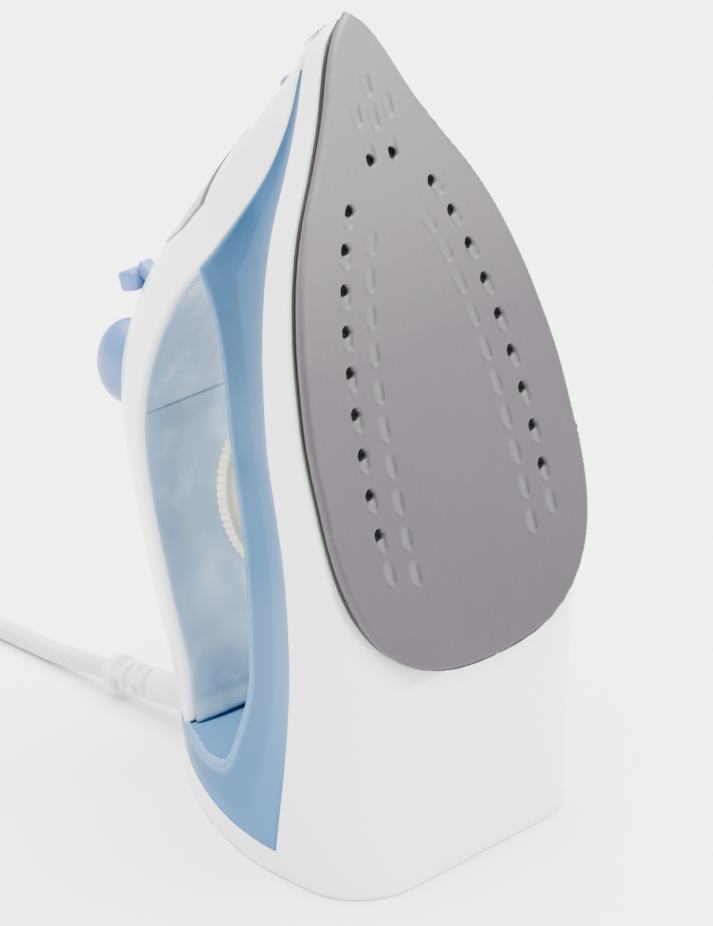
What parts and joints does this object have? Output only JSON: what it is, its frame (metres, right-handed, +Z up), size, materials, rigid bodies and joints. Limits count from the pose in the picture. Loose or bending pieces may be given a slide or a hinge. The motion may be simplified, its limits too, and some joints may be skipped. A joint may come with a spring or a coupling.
{
  "type": "clothes iron",
  "caption": "Steam iron standing on its heel: drilled soleplate, blue tank, open handle, dial, steam slider, pump buttons, filler door and woven mains lead.",
  "frame": {"origin": "On the table under the middle of the standing iron's own box, lead and plug left out.", "axes": "+Z up, the soleplate faces -Y and leans back by 18.4 degrees, the handle faces +Y, X = 0 is the plane of symmetry."},
  "size_m": [0.1775, 0.3588, 0.2844],
  "materials": {
    "sole_metal": "satin, warm grey coating",
    "cast_aluminium": "cast, dull",
    "element_steel": "dull",
    "seal_rubber": "matt",
    "cover_aluminium": "pressed",
    "dark_plastic": "satin",
    "white_gloss": "glossy",
    "white_matte": "fine texture",
    "blue_clear": "translucent, glossy",
    "pale_blue": "glossy",
    "smoke_clear": "clear moulded plastic",
    "pin_steel": "ground",
    "cream_plastic": "satin",
    "brown_plastic": "moulded",
    "fuse_brass": "dull",
    "nylon": "matt",
    "button_blue": "satin",
    "spring_steel": "drawn wire",
    "amber_lens": "clear",
    "screw_steel": "zinc plated",
    "relief_plastic": "soft, matt",
    "sheath_plastic": "smooth",
    "wire_brown": "smooth",
    "wire_blue": "smooth",
    "woven_lead": "off-white woven braid",
    "plug_plastic": "satin",
    "plug_metal": "plated"
  },
  "bodies": {
    "body": {"soleplate": "sole_metal", "heating_base": "cast_aluminium", "heating_element": "element_steel", "chamber_seal": "seal_rubber", "steam_chamber_cover": "cover_aluminium", "heat_shield": "dark_plastic", "skirt": "white_gloss", "heel_cover": "white_matte", "water_tank": "blue_clear", "tank_floor": "pale_blue", "top_shell": "white_gloss", "door_pin": "pin_steel", "spray_nozzle": "pale_blue", "grip_underside": "pale_blue", "handle_neck": "pale_blue", "thermostat": "brown_plastic", "thermal_fuse": "fuse_brass", "valve_seat": "nylon", "spray_pump": "nylon", "spray_spring": "spring_steel", "steam_pump": "nylon", "steam_spring": "spring_steel", "pump_carrier": "nylon", "indicator_lamp": "amber_lens", "heel_screw_left": "screw_steel", "heel_screw_right": "screw_steel", "strain_relief": "relief_plastic", "lead_sheath": "sheath_plastic", "cord_clamp": "nylon", "terminal_block": "nylon", "live_wire": "wire_brown", "neutral_wire": "wire_blue", "mains_lead": "woven_lead", "mains_lead_coil": "woven_lead", "mains_lead_end": "woven_lead", "plug_boot": "plug_plastic", "plug_body": "plug_plastic", "plug_pin_left": "plug_metal", "plug_pin_right": "plug_metal"},
    "dial": {"temperature_dial": "cream_plastic", "dial_spindle": "pin_steel"},
    "slider": {"steam_slider": "button_blue"},
    "valve": {"valve_needle": "pin_steel"},
    "spray": {"spray_button": "button_blue", "spray_plunger": "nylon"},
    "steam": {"steam_button": "button_blue", "steam_plunger": "nylon"},
    "door": {"filler_door": "smoke_clear"}
  },
  "joints": [
    {"name": "dial_turn", "type": "hinge", "parent": "body", "child": "dial", "pos_m": [0, 0.006, 0.10673], "axis": [0, 0.9489, -0.3156], "range_deg": [0, 270]},
    {"name": "slider_slide", "type": "slide", "parent": "body", "child": "slider", "axis": [0, 0.4588, -0.8885], "range_m": [0, 0.006]},
    {"name": "needle_lift", "type": "slide", "parent": "body", "child": "valve", "axis": [0, 0.9489, -0.3156], "range_m": [0, 0.003]},
    {"name": "spray_press", "type": "slide", "parent": "body", "child": "spray", "axis": [0, -0.9952, -0.0983], "range_m": [0, 0.004], "stiffness_N_per_m": 400, "deforming": ["spray_spring"]},
    {"name": "steam_press", "type": "slide", "parent": "body", "child": "steam", "axis": [0, -0.9952, -0.0983], "range_m": [0, 0.004], "stiffness_N_per_m": 400, "deforming": ["steam_spring"]},
    {"name": "door_lift", "type": "hinge", "parent": "body", "child": "door", "pos_m": [0, 0.01738, 0.23317], "axis": [1, 0, 0], "range_deg": [0, 70]}
  ],
  "couplings": [
    {"joint": "needle_lift", "follows": "slider_slide", "ratio": 0.5}
  ]
}
